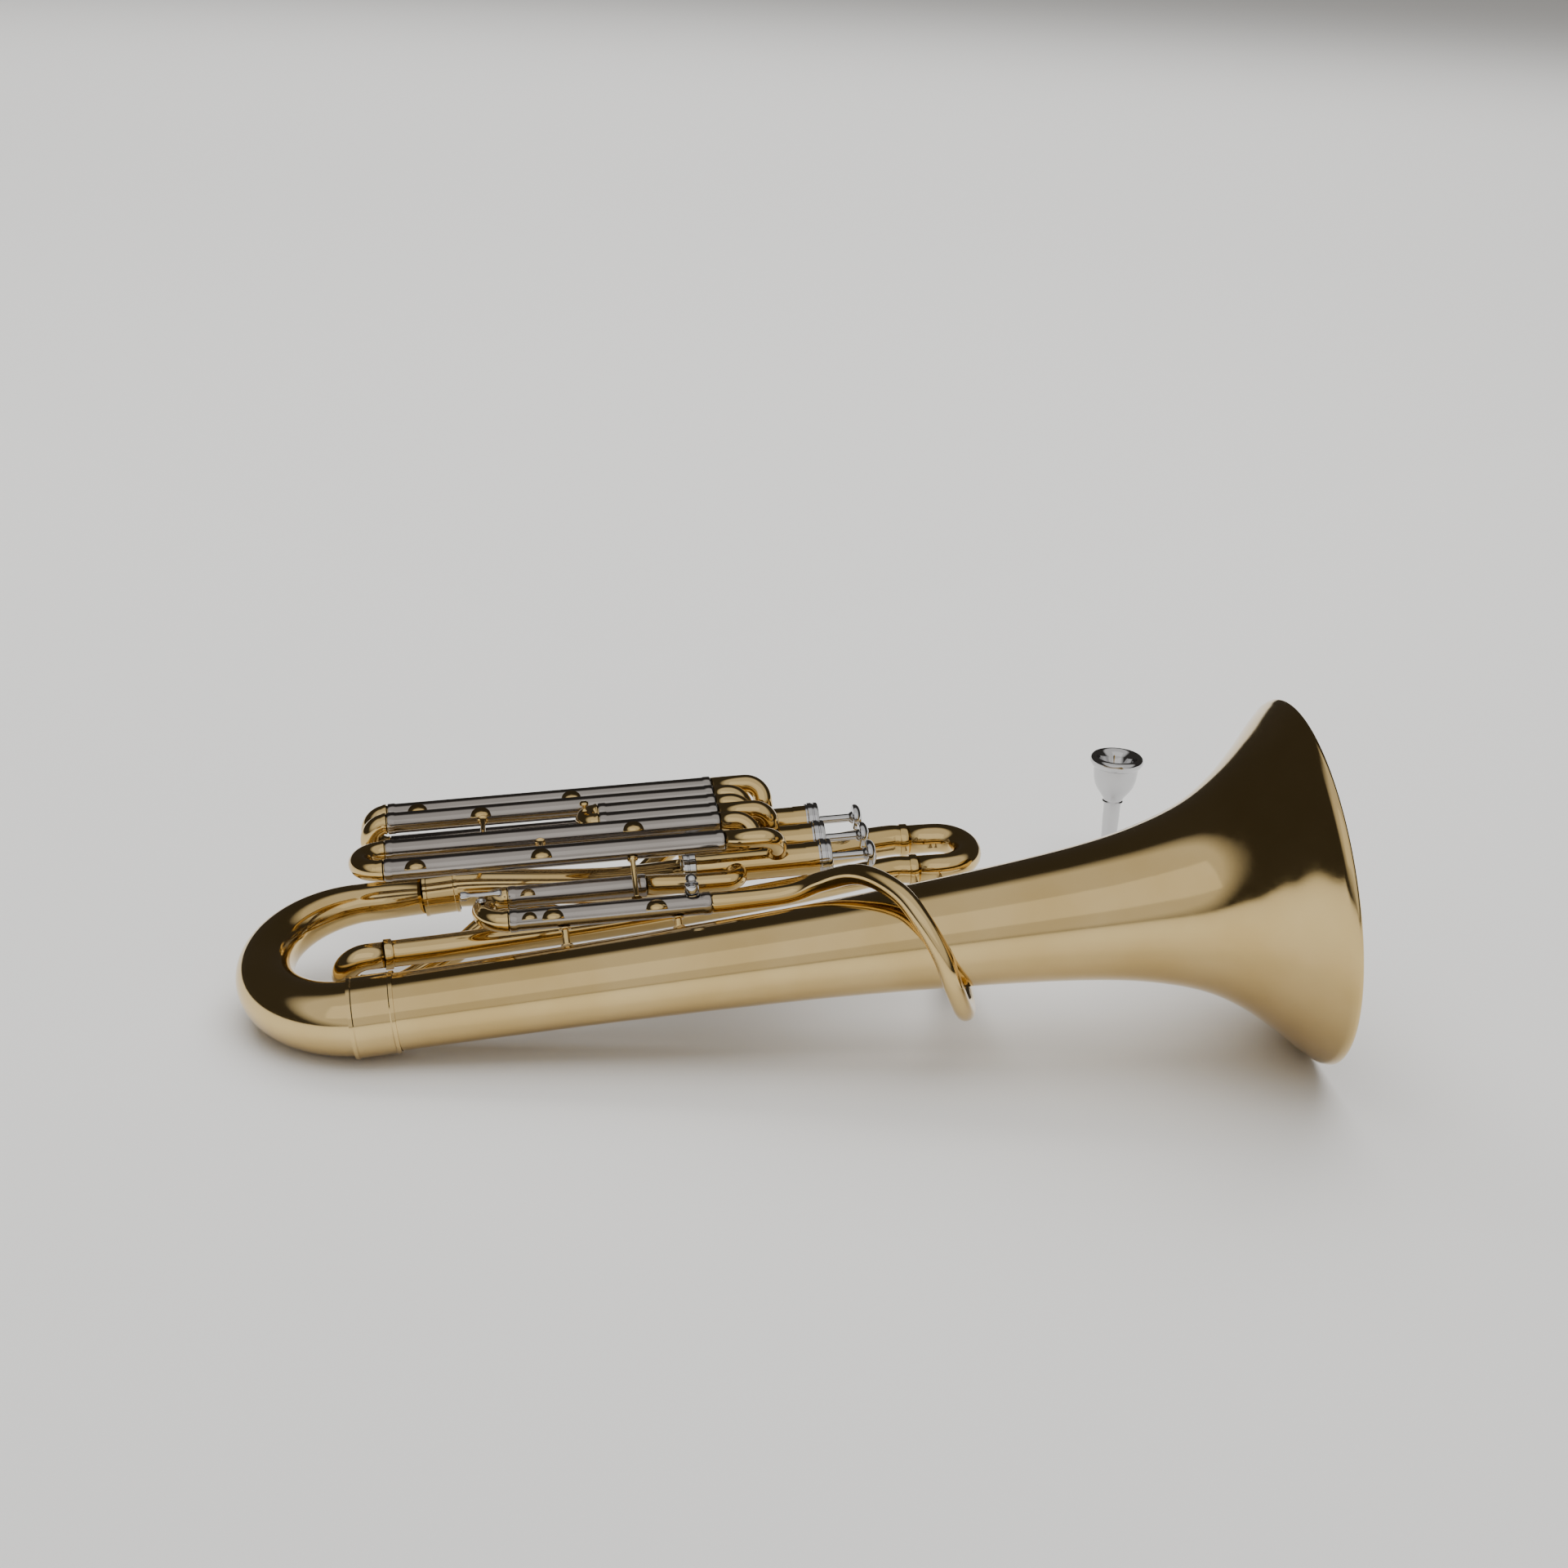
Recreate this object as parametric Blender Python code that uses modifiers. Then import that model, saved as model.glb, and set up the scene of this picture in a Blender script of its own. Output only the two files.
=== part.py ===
"""Three-valve baritone horn lying on its back, with its mouthpiece standing beside it.

Run with: blender --background --python part.py, or from Blender's text editor. Sizes are in
millimetres and become metres when a mesh is made. +X runs up the horn towards the bell mouth, +Y
runs from the bell to the valves and +Z is up, which is the horn's front when it lies down. The horn
rests on the bell rim, the bottom bow and the mouthpiece receiver, and the origin is the centre of the
underside of everything.
"""
import math

import bpy
from mathutils import Vector

MM = 0.001
GAP = 0.3            # between two pieces that touch on the real horn
SLIDING_GAP = 0.35   # between a slide or piston and the bore that it runs in

# Tubing
SLEEVE_RADIUS = 7.0          # nickel outer tube of every slide
SLEEVE_WALL = 0.45
TUBE_SIDES = 8
LEG_RADIUS = (SLEEVE_RADIUS - SLEEVE_WALL) * math.cos(math.pi / TUBE_SIDES) - SLIDING_GAP
LEG_WALL = 0.5
ELBOW_RADIUS = 6.2           # brass tubes that join sleeves to valve casings
TUBE_WALL = 0.6
TUBE_PITCH = 15.0            # between neighbouring parallel slide tubes

# Bell, from the rim (0) back to the tail: distance along the axis and outer radius
BELL_RADIUS = 112.0
BELL_LENGTH = 560.0
BELL_TAIL_RADIUS = 23.0
BELL_WALL = 0.8
BELL_OUTLINE = ((1.0, 0.0), (0.77, 0.018), (0.557, 0.056), (0.428, 0.1), (0.322, 0.148),
                (0.232, 0.208), (0.17, 0.281), (0.116, 0.393), (0.075, 0.551), (0.043, 0.73),
                (0.018, 0.893), (0.0, 1.0))    # shares of the length and of the flare
RIM_WIRE_RADIUS = 2.0

# Bottom bow
BOW_SPAN = 117.0             # between the centres of its two legs
BOW_END_RADIUS = 12.3        # at the far leg
BOW_STRAIGHT = 50.0          # far leg, after the bend
BOW_ROLL = math.radians(11)  # the bow's plane turned up from the floor
FERRULE_WALL = 1.2
FERRULE_LENGTH = 27.0
REST_SPAN = 660.0            # along the bell's axis, for its slope
LIE_PITCH = math.radians(0.86)  # settles the bow on the floor, with the bell rim and the receiver

# Valves
VALVE_PITCH = 2 * TUBE_PITCH
CASING_RADIUS = 10.5
CASING_WALL = 1.2
CASING_TOP = 28.0            # along the valve axis, from the block's origin
CASING_BOTTOM = -62.0
CAP_RADIUS = 12.0
CAP_HEIGHT = 7.0
PISTON_TOP = 16.0
PISTON_BOTTOM = -38.0
STROKE = 13.0                # also the distance between the rows of ports
PORT_RADIUS = 5.2
STEM_RADIUS = 2.6
BUTTON_RADIUS = 8.4
BUTTON_UNDERSIDE = 52.0
VALVE_SIDES = 14
UPPER_PORT = -5.0
LOWER_PORT = UPPER_PORT - STROKE
INLET_PORT = LOWER_PORT - STROKE
SPRING_WIRE = 0.55
SPRING_RADIUS = 6.5          # of the coil

# Valve block's frame: its origin on the first valve's axis, pitched up from the floor
BLOCK_ORIGIN = Vector((-303.7, 80.0, 96.0))
BLOCK_PITCH = math.radians(4.56)
SLEEVE_RIGHT = -38.0         # end of the sleeves at the valves
SLEEVE_LEFT = -245.0         # end of the long sleeves at the crooks
SHORT_SLEEVE_LEFT = -112.0   # of the second slide
ELBOW_BEND = 11.0
ELBOW_STUB = 2.2             # straight end of an elbow, at the casing straight below it
SLIDE_PLANE = CASING_RADIUS + ELBOW_BEND + ELBOW_STUB   # of the parallel slide tubes, above the valve axes
RETURN_DROP = 22.0           # from the third loop's upper legs to its lower legs
RETURN_RIGHT = -95.0         # where the third loop's lower legs turn back

# Main tuning slide, in the block's frame
TUNING_NEAR = Vector((0.0, -53.0, 0.0))
TUNING_FAR = Vector((0.0, -23.0, 2.0))
TUNING_LEFT = -172.0
TUNING_NEAR_RIGHT = -51.0
TUNING_FAR_RIGHT = -88.0
TUNING_LEG = 62.0            # inner legs' length inside the sleeves
SLIDE_LEG = 95.0
WATER_KEY_RADIUS = 1.4
WATER_KEY_SADDLE_RADIUS = 1.5   # at its top, under the lever
WATER_KEY_SWING_GAP = 0.6       # lets the lever rock on its saddle

# Leadpipe, mouthpiece receiver and mouthpiece
LEADPIPE_END_RADIUS = 5.2
LEADPIPE_START_RADIUS = 6.6
RECEIVER_RADIUS = 8.0
RECEIVER_BORE = 5.6
RECEIVER_START = Vector((-194.0, 50.0, 28.0))
RECEIVER_END = Vector((-190.0, 112.0, 11.25))
MOUTHPIECE_PLACE = Vector((-36.0, 292.0, 0.0))
MOUTHPIECE_HEIGHT = 82.0
MOUTHPIECE_RIM = 19.3
SHANK_RADIUS = 4.9

BRASS = (0.78, 0.57, 0.27)
NICKEL = (0.71, 0.68, 0.66)
STEEL = (0.55, 0.55, 0.56)


# Scene, materials and frames

def clear_scene():
    for obj in list(bpy.data.objects):
        bpy.data.objects.remove(obj)
    for name in ("baritone_horn", "cutters"):
        bpy.context.scene.collection.children.link(bpy.data.collections.new(name))


def material(name, colour, roughness=0.15, metallic=1.0):
    made = bpy.data.materials.get(name) or bpy.data.materials.new(name)
    made.use_nodes = True
    shader = made.node_tree.nodes["Principled BSDF"]
    shader.inputs["Base Color"].default_value = (*colour, 1)
    shader.inputs["Roughness"].default_value = roughness
    shader.inputs["Metallic"].default_value = metallic
    return made


def lacquered_brass():
    return material("lacquered_brass", BRASS)


def nickel_silver():
    return material("nickel_silver", NICKEL, 0.2)


def spring_steel():
    return material("spring_steel", STEEL, 0.3)


def empty(name, origin, pitch=0.0):
    made = bpy.data.objects.new(name, None)
    made.location = Vector(origin) * MM
    made.rotation_euler = (0, -pitch, 0)
    bpy.data.collections["baritone_horn"].objects.link(made)
    return made


def add(obj, look, parent):
    bpy.data.collections["baritone_horn"].objects.link(obj)
    obj.data.materials.append(look)
    obj.parent = parent
    return obj


# Shapes

def smooth_route(points, steps=6):
    """Catmull-Rom curve through the points, with its first and last runs straight."""
    pts = [Vector(p) for p in points]
    route = pts[:1]
    for a, b, c, d in zip(pts, pts[1:], pts[2:], pts[3:]):
        for step in range(steps):
            t = step / steps
            route.append(0.5 * ((2 * b) + (c - a) * t + (2 * a - 5 * b + 4 * c - d) * t ** 2
                                + (3 * b - a - 3 * c + d) * t ** 3))
    return route + pts[-2:]


def bend(start, heading, turn_to, radius, angle=math.pi / 2, steps=4):
    """Arc from start that leaves along heading and turns towards turn_to."""
    centre = start + turn_to * radius
    return [centre - turn_to * radius * math.cos(angle * i / steps)
            + heading * radius * math.sin(angle * i / steps) for i in range(steps + 1)]


def tube(name, route, radii, wall, look, parent, sides=TUBE_SIDES):
    """Open tube along a route. One radius, or one for each point."""
    if not isinstance(radii, (list, tuple)):
        radii = [radii] * len(route)
    curve = bpy.data.curves.new(name, "CURVE")
    curve.dimensions = "3D"
    curve.bevel_depth = MM
    curve.bevel_resolution = (sides - 4) // 2
    curve.use_fill_caps = False
    spline = curve.splines.new("POLY")
    spline.points.add(len(route) - 1)
    for place, point, radius in zip(spline.points, route, radii):
        place.co = (*(Vector(point) * MM), 1)
        place.radius = radius
    obj = add(bpy.data.objects.new(name, curve), look, parent)
    shell = obj.modifiers.new("wall", "SOLIDIFY")
    shell.thickness = wall * MM
    shell.offset = -1
    return obj


def spread(values, count):
    """A list of count values spaced evenly along the given ones."""
    last = len(values) - 1
    result = []
    for i in range(count):
        place = last * i / (count - 1)
        low = min(int(place), last - 1)
        result.append(values[low] + (values[low + 1] - values[low]) * (place - low))
    return result


def turned(name, profile, look, parent, place=(0, 0, 0), axis=(1, 0, 0), ring=False, sides=VALVE_SIDES):
    """Solid of revolution. The profile's (radius, height) points run down the outer side."""
    points = [(radius * MM, 0, height * MM) for radius, height in profile]
    edges = [(i, i + 1) for i in range(len(points) - 1)]
    if ring:
        edges.append((len(points) - 1, 0))
    mesh = bpy.data.meshes.new(name)
    mesh.from_pydata(points, edges, [])
    obj = add(bpy.data.objects.new(name, mesh), look, parent)
    obj.location = Vector(place) * MM
    obj.rotation_mode = "QUATERNION"
    obj.rotation_quaternion = Vector((0, 0, 1)).rotation_difference(Vector(axis).normalized())
    spin = obj.modifiers.new("turn", "SCREW")
    spin.steps = spin.render_steps = sides
    spin.use_merge_vertices = True
    spin.merge_threshold = 1e-5
    spin.use_smooth_shade = True
    return obj


def cutter(name, radius, length, place, axis, parent):
    made = turned(name, ((0, length / 2), (radius, length / 2), (radius, -length / 2), (0, -length / 2)),
                  lacquered_brass(), parent, place, axis, sides=12)
    bpy.data.collections["baritone_horn"].objects.unlink(made)
    bpy.data.collections["cutters"].objects.link(made)
    made.hide_render = True
    made.display_type = "WIRE"
    return made


def drill(obj, tool):
    cut = obj.modifiers.new("port", "BOOLEAN")
    cut.operation = "DIFFERENCE"
    cut.object = tool


def post(name, start, end, radius, look, parent):
    """Brace between two points: a waisted rod with a flared foot at each end."""
    start, end = Vector(start), Vector(end)
    half = (end - start).length / 2
    foot = min(1.2, half / 3)
    profile = ((0, half), (radius * 1.7, half), (radius * 1.7, half - foot / 2), (radius, half - foot),
               (radius, foot - half), (radius * 1.7, foot / 2 - half), (radius * 1.7, -half), (0, -half))
    return turned(name, profile, look, parent, (start + end) / 2, end - start, sides=12)


# Bell and bows

def bell_radius_at(distance):
    """Outer radius at a distance back from the rim, by straight runs between the outline's points."""
    share = min(max(distance / BELL_LENGTH, 0), 1)
    for (far, wide_far), (near, wide_near) in zip(BELL_OUTLINE, BELL_OUTLINE[1:]):
        if near <= share:
            part = (share - near) / (far - near)
            flare = wide_near + (wide_far - wide_near) * part
            return BELL_TAIL_RADIUS + (BELL_RADIUS - BELL_TAIL_RADIUS) * flare
    return BELL_RADIUS


def bell_pitch():
    return math.asin((BELL_RADIUS - BELL_TAIL_RADIUS) / REST_SPAN)


def make_bell(frame):
    """Bell from its tail to the wired rim, along the frame's X axis, with the rim at zero."""
    outline = smooth_route([(share * BELL_LENGTH, BELL_TAIL_RADIUS + (BELL_RADIUS - BELL_TAIL_RADIUS) * flare, 0)
                            for share, flare in BELL_OUTLINE], 1)
    outer = [(p.y, -p.x) for p in outline]
    inner = [(radius - BELL_WALL, height) for radius, height in outer[:-1]]
    wire = [(BELL_RADIUS + RIM_WIRE_RADIUS * math.sin(a) - RIM_WIRE_RADIUS,
             RIM_WIRE_RADIUS * (1 - math.cos(a)))
            for a in (math.pi * (0.3 + 0.25 * i) for i in range(6))]
    loop = list(reversed(outer[:-1])) + inner + list(reversed(wire))
    turned("bell", loop, lacquered_brass(), frame, ring=True, sides=28)


def make_bottom_bow(frame):
    """U from the bell's tail to the far leg, in a plane rolled up about the bell's axis."""
    ferrule_middle = -BELL_LENGTH - GAP / 2
    radius = BELL_TAIL_RADIUS + GAP + 0.2
    half = FERRULE_LENGTH / 2
    turned("bell_ferrule", ((radius + FERRULE_WALL, half), (radius + FERRULE_WALL, -half),
                            (radius, -half), (radius, half)),
           lacquered_brass(), frame, (ferrule_middle, 0, 0), ring=True, sides=24)
    start = Vector((-BELL_LENGTH - GAP, 0, 0))
    across = Vector((0, math.cos(BOW_ROLL), math.sin(BOW_ROLL)))
    back = Vector((-1, 0, 0))
    turn = bend(start + back * 8, back, across, BOW_SPAN / 2, math.pi, 12)
    end = turn[-1] - back * BOW_STRAIGHT
    route = [start] + turn + [end]
    radii = [BELL_TAIL_RADIUS] + spread((BELL_TAIL_RADIUS, BOW_END_RADIUS), len(turn)) + [BOW_END_RADIUS]
    tube("bottom_bow", route, radii, BELL_WALL, lacquered_brass(), frame, 12)
    radius = BOW_END_RADIUS + GAP + 0.35
    half = FERRULE_LENGTH * 0.4
    turned("bow_ferrule", ((radius + FERRULE_WALL, half), (radius + FERRULE_WALL, -half),
                           (radius, -half), (radius, half)),
           lacquered_brass(), frame, end + Vector((GAP / 2, 0, 0)), ring=True, sides=24)
    return end + Vector((GAP, 0, 0))


def make_branches(horn, branch_start, heading, outlet):
    """The widening tubes: third branch, top bow, second branch, small bow and first branch."""
    brass = lacquered_brass()
    far_leg = Vector((-214.0, 158.0, 76.0))
    near_leg = Vector((-214.0, 118.0, 72.0))
    right = Vector((1, 0, 0.06)).normalized()
    across = (near_leg - far_leg).normalized()
    route = smooth_route((branch_start, branch_start + heading * 20, (-400, 124, 63), (-300, 143, 70),
                          far_leg - right * 16, far_leg), 2)
    tube("third_branch", route, spread((BOW_END_RADIUS, 9.7), len(route)), TUBE_WALL, brass, horn)
    turn = bend(far_leg + right * 19, right, across, (near_leg - far_leg).length / 2, math.pi, 6)
    route = [far_leg + right * GAP] + turn + [near_leg + right * GAP]
    tube("top_bow", route, spread((9.7, 8.9), len(route)), TUBE_WALL, brass, horn)

    upper = Vector((-548.0, 42.0, 55.0))
    lower = Vector((-548.0, 54.0, 29.0))
    route = smooth_route((near_leg, near_leg - right * 20, (-300, 96, 67), (-400, 70, 61.5), (-500, 49, 57.3),
                          upper), 2)
    tube("second_branch", route, spread((8.9, 8.2), len(route)), TUBE_WALL, brass, horn)
    left = (upper - Vector((-500, 49, 57.3))).normalized()
    down = lower - upper
    down = (down - left * down.dot(left)).normalized()
    span = (lower - upper).length / 2
    turn = bend(upper + left * 12, left, down, span, math.pi, 6)
    end = turn[-1] - left * 12
    tube("small_bow", [upper + left * GAP] + turn + [end], 8.0, TUBE_WALL, brass, horn)

    start = end - left * GAP
    route = smooth_route((start, start - left * 10, (-508, 72, 42), (-482, 86, 57), (-452, 100, 53),
                          (-425, 124, 38), (-398, 148, 47), (-372, 164, 66), (-350, 168, 83),
                          outlet + Vector((0, 9, 0)), outlet), 2)
    tube("first_branch", route, spread((7.8, ELBOW_RADIUS), len(route)), TUBE_WALL, brass, horn)


# Valve block

def valve_places():
    return [Vector((0, i * VALVE_PITCH, 0)) for i in range(3)]


def loop_legs():
    """For each valve: (leg across, leg height, port along) of its loop's two legs."""
    return (((-TUBE_PITCH, UPPER_PORT), (TUBE_PITCH, LOWER_PORT)),
            ((2 * TUBE_PITCH, UPPER_PORT), (3 * TUBE_PITCH, LOWER_PORT)),
            ((4 * TUBE_PITCH, LOWER_PORT), (5 * TUBE_PITCH, UPPER_PORT)))


def port_direction(valve, across):
    """From a valve's axis to the leg above it."""
    return (Vector((0, across, SLIDE_PLANE)) - valve).normalized()


def make_casings(block):
    brass, nickel = lacquered_brass(), nickel_silver()
    inner = CASING_RADIUS - CASING_WALL
    for number, (valve, legs) in enumerate(zip(valve_places(), loop_legs()), 1):
        casing = turned(f"valve_casing_{number}",
                        ((CASING_RADIUS, CASING_TOP), (CASING_RADIUS, CASING_BOTTOM),
                         (inner, CASING_BOTTOM), (inner, CASING_TOP)),
                        brass, block, valve, ring=True)
        for across, port in legs:
            away = port_direction(valve, across)
            reach = valve + Vector((port, 0, 0)) + away * CASING_RADIUS
            drill(casing, cutter(f"casing_port_{number}_{across:.0f}", PORT_RADIUS, 6, reach, away, block))
        through = valve + Vector((INLET_PORT, 0, 0))
        drill(casing, cutter(f"casing_inlet_{number}", PORT_RADIUS, 4 * CASING_RADIUS, through, (0, 1, 0), block))

        cap_inner = CASING_RADIUS + GAP
        roof = CASING_TOP + GAP
        turned(f"top_cap_{number}",
               ((STEM_RADIUS + 0.6, roof + 1.6), (CAP_RADIUS - 1.4, roof + 1.6), (CAP_RADIUS, roof + 0.6),
                (CAP_RADIUS, roof - CAP_HEIGHT), (cap_inner, roof - CAP_HEIGHT), (cap_inner, roof),
                (STEM_RADIUS + 0.6, roof)),
               nickel, block, valve, ring=True)
        floor = CASING_BOTTOM - GAP
        turned(f"bottom_cap_{number}",
               ((cap_inner, floor), (cap_inner, floor + CAP_HEIGHT), (CAP_RADIUS, floor + CAP_HEIGHT),
                (CAP_RADIUS, floor - 0.8), (CAP_RADIUS - 1.2, floor - 1.6), (1.5, floor - 1.6), (1.5, floor)),
               nickel, block, valve, ring=True)
    for number, valve in enumerate(valve_places()[:2], 1):
        start = valve + Vector((INLET_PORT, CASING_RADIUS + GAP, 0))
        end = valve + Vector((INLET_PORT, VALVE_PITCH - CASING_RADIUS - GAP, 0))
        tube(f"valve_knuckle_{number}", [start, end], ELBOW_RADIUS, TUBE_WALL, brass, block)


def make_pistons(block):
    nickel = nickel_silver()
    radius = CASING_RADIUS - CASING_WALL - SLIDING_GAP
    for number, (valve, legs) in enumerate(zip(valve_places(), loop_legs()), 1):
        piston = turned(f"piston_{number}",
                        ((0, PISTON_TOP), (radius, PISTON_TOP), (radius, PISTON_BOTTOM), (0, PISTON_BOTTOM)),
                        nickel, block, valve)
        for across, port in legs:
            away = port_direction(valve, across)
            place = valve + Vector((port, 0, 0))
            drill(piston, cutter(f"piston_port_{number}_{across:.0f}", PORT_RADIUS, 4 * radius, place, away, block))
        place = valve + Vector((INLET_PORT, 0, 0))
        drill(piston, cutter(f"piston_inlet_{number}", PORT_RADIUS, 4 * radius, place, (0, 1, 0), block))

        top = BUTTON_UNDERSIDE
        turned(f"finger_button_{number}",
               ((0, top + 6.4), (BUTTON_RADIUS * 0.6, top + 6.0), (BUTTON_RADIUS * 0.94, top + 4.4),
                (BUTTON_RADIUS, top + 2.6), (BUTTON_RADIUS, top + 1.2), (BUTTON_RADIUS - 1.2, top),
                (STEM_RADIUS, top), (STEM_RADIUS, PISTON_TOP + GAP), (0, PISTON_TOP + GAP)),
               nickel, block, valve)

        turns, points_a_turn = 4, 6
        low, high = CASING_BOTTOM + SPRING_WIRE, PISTON_BOTTOM - GAP - SPRING_WIRE
        coil = []
        count = turns * points_a_turn
        for i in range(count + 1):
            angle = 2 * math.pi * i / points_a_turn
            coil.append(valve + Vector((low + (high - low) * i / count, SPRING_RADIUS * math.cos(angle),
                                        SPRING_RADIUS * math.sin(angle))))
        spring = tube(f"valve_spring_{number}", coil, SPRING_WIRE, 0, spring_steel(), block, 6)
        spring.modifiers.clear()
        spring.data.use_fill_caps = True


# Slides

def make_elbows(block):
    brass = lacquered_brass()
    along = Vector((1, 0, 0))
    for number, (valve, legs) in enumerate(zip(valve_places(), loop_legs()), 1):
        for side, (across, port) in zip("ab", legs):
            down = -port_direction(valve, across)
            leg = Vector((0, across, SLIDE_PLANE))
            reach = (leg - valve).length
            start = leg + along * (SLEEVE_RIGHT + GAP)
            turn = bend(leg + along * (port - ELBOW_BEND), along, down, ELBOW_BEND)
            end = turn[-1] + down * (reach - ELBOW_BEND - CASING_RADIUS - 2 * GAP)
            tube(f"valve_{number}_elbow_{side}", [start] + turn + [end], ELBOW_RADIUS, TUBE_WALL, brass, block)


def sleeve(name, left, right, across, height, block):
    tube(name, [(left, across, height), (right, across, height)], SLEEVE_RADIUS, SLEEVE_WALL,
         nickel_silver(), block)


def slide(name, first, second, leg, block):
    """U of brass whose two legs run into sleeves. first and second are the sleeves' open ends."""
    into, back = Vector((1, 0, 0)), Vector((-1, 0, 0))
    step = 0.6
    radius = SLEEVE_RADIUS - 0.1
    middle = min(first.x, second.x) - GAP - step
    start = Vector((middle, first.y, first.z))
    across = Vector((0, second.y - first.y, second.z - first.z))
    turn = bend(start + back, back, across.normalized(), across.length / 2, math.pi, 6)
    route = [first + into * leg, first - into * GAP, first - into * (GAP + step)] + turn
    route += [second - into * (GAP + step), second - into * GAP, second + into * leg]
    radii = [LEG_RADIUS] * 2 + [radius] * (len(turn) + 2) + [LEG_RADIUS] * 2
    tube(name, route, radii, LEG_WALL, lacquered_brass(), block)


def make_slides(block):
    height = SLIDE_PLANE
    names = ("first_slide_sleeve_near", "first_slide_sleeve_far", "second_slide_sleeve_near",
             "second_slide_sleeve_far", "third_slide_sleeve_near", "third_slide_sleeve_far")
    columns = [across for legs in loop_legs() for across, port in legs]
    lefts = [SLEEVE_LEFT] * 2 + [SHORT_SLEEVE_LEFT] * 2 + [SLEEVE_LEFT] * 2
    for name, across, left in zip(names, columns, lefts):
        sleeve(name, left, SLEEVE_RIGHT, across, height, block)
    ends = [Vector((left, across, height)) for across, left in zip(columns, lefts)]
    slide("first_valve_slide", ends[0], ends[1], SLIDE_LEG, block)
    slide("second_valve_slide", ends[2], ends[3], SLIDE_LEG / 2, block)

    low = Vector((0, 0, -RETURN_DROP))
    slide("third_valve_slide_near", ends[4], ends[4] + low, SLIDE_LEG, block)
    slide("third_valve_slide_far", ends[5], ends[5] + low, SLIDE_LEG, block)
    right = Vector((1, 0, 0))
    turn_start = ends[4] + low
    turn_start.x = RETURN_RIGHT - TUBE_PITCH / 2 - SLEEVE_RADIUS
    turn = bend(turn_start, right, Vector((0, 1, 0)), TUBE_PITCH / 2, math.pi, 6)
    tube("third_loop_return", [ends[4] + low] + turn + [ends[5] + low], SLEEVE_RADIUS, SLEEVE_WALL,
         nickel_silver(), block)


def make_tuning_slide(block):
    near = TUNING_NEAR + Vector((TUNING_LEFT, 0, 0))
    far = TUNING_FAR + Vector((TUNING_LEFT, 0, 0))
    sleeve("tuning_sleeve_near", TUNING_LEFT, TUNING_NEAR_RIGHT, TUNING_NEAR.y, TUNING_NEAR.z, block)
    sleeve("tuning_sleeve_far", TUNING_LEFT, TUNING_FAR_RIGHT, TUNING_FAR.y, TUNING_FAR.z, block)
    slide("main_tuning_slide", near, far, TUNING_LEG, block)

    inlet = Vector((INLET_PORT, -CASING_RADIUS - 2 * GAP, 0))
    into = Vector((0, 1, 0))
    start = TUNING_FAR + Vector((TUNING_FAR_RIGHT + GAP, 0, 0))
    radius = inlet.y - start.y - 4
    corner = Vector((inlet.x - radius, start.y, 0))
    route = [start, start + Vector((8, 0, 0)), corner - Vector((8, 0, 0))]
    route += bend(corner, Vector((1, 0, 0)), into, radius) + [inlet]
    tube("tuning_return", route, ELBOW_RADIUS, TUBE_WALL, lacquered_brass(), block)


def make_braces(block, bell_frame):
    """Posts between tubes. Each is cut short by the gap at the tube that it meets."""
    nickel, brass = nickel_silver(), lacquered_brass()
    stand_off = SLEEVE_RADIUS + 2 * GAP

    def between(name, along, first, second, look):
        first = Vector((along, first[0], first[1]))
        second = Vector((along, second[0], second[1]))
        way = (second - first).normalized()
        post(name, first + way * stand_off, second - way * stand_off, 1.9, look, block)

    between("tuning_brace", -95.0, (TUNING_NEAR.y, TUNING_NEAR.z), (-TUBE_PITCH, SLIDE_PLANE), brass)
    between("first_slide_brace", -150.0, (-TUBE_PITCH, SLIDE_PLANE), (TUBE_PITCH, SLIDE_PLANE), brass)
    between("slide_bank_brace", -185.0, (TUBE_PITCH, SLIDE_PLANE), (4 * TUBE_PITCH, SLIDE_PLANE), brass)

    bpy.context.view_layer.update()
    to_bell = bell_frame.matrix_world.inverted() @ block.matrix_world
    for number, along in enumerate((-140.0, -72.0), 1):
        tube_centre = to_bell @ ((TUNING_NEAR + Vector((along, 0, 0))) * MM) / MM
        foot = Vector((tube_centre.x, 0, 0))
        way = (foot - tube_centre).normalized()
        surface = bell_radius_at(-tube_centre.x) + 2 * GAP
        post(f"bell_brace_{number}", tube_centre + way * stand_off, foot - way * surface, 2.2, brass, bell_frame)


def make_water_key(block):
    """Lever over the tuning slide's crook, hinged in a saddle."""
    middle = (TUNING_NEAR + TUNING_FAR) / 2
    crook_left = TUNING_LEFT - GAP - 1.6 - (TUNING_FAR - TUNING_NEAR).length / 2
    top = SLEEVE_RADIUS - 0.1
    hinge = Vector((crook_left + 0.6, middle.y, middle.z + top + 4.2))
    floor = middle.z + top + GAP
    height = hinge.z - WATER_KEY_RADIUS - WATER_KEY_SWING_GAP - floor
    turned("water_key_saddle", ((0, height), (WATER_KEY_SADDLE_RADIUS, height), (3.2, 0), (0, 0)),
           nickel_silver(), block, (hinge.x, hinge.y, floor), (0, 0, 1), sides=12)
    turned("water_key",
           ((0, 13), (1.9, 13), (2.3, 11), (WATER_KEY_RADIUS, 8), (WATER_KEY_RADIUS, -6), (2.9, -9),
            (2.9, -12), (0, -12)),
           nickel_silver(), block, hinge, (1, 0, 0), sides=12)


# Leadpipe and mouthpiece

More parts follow.
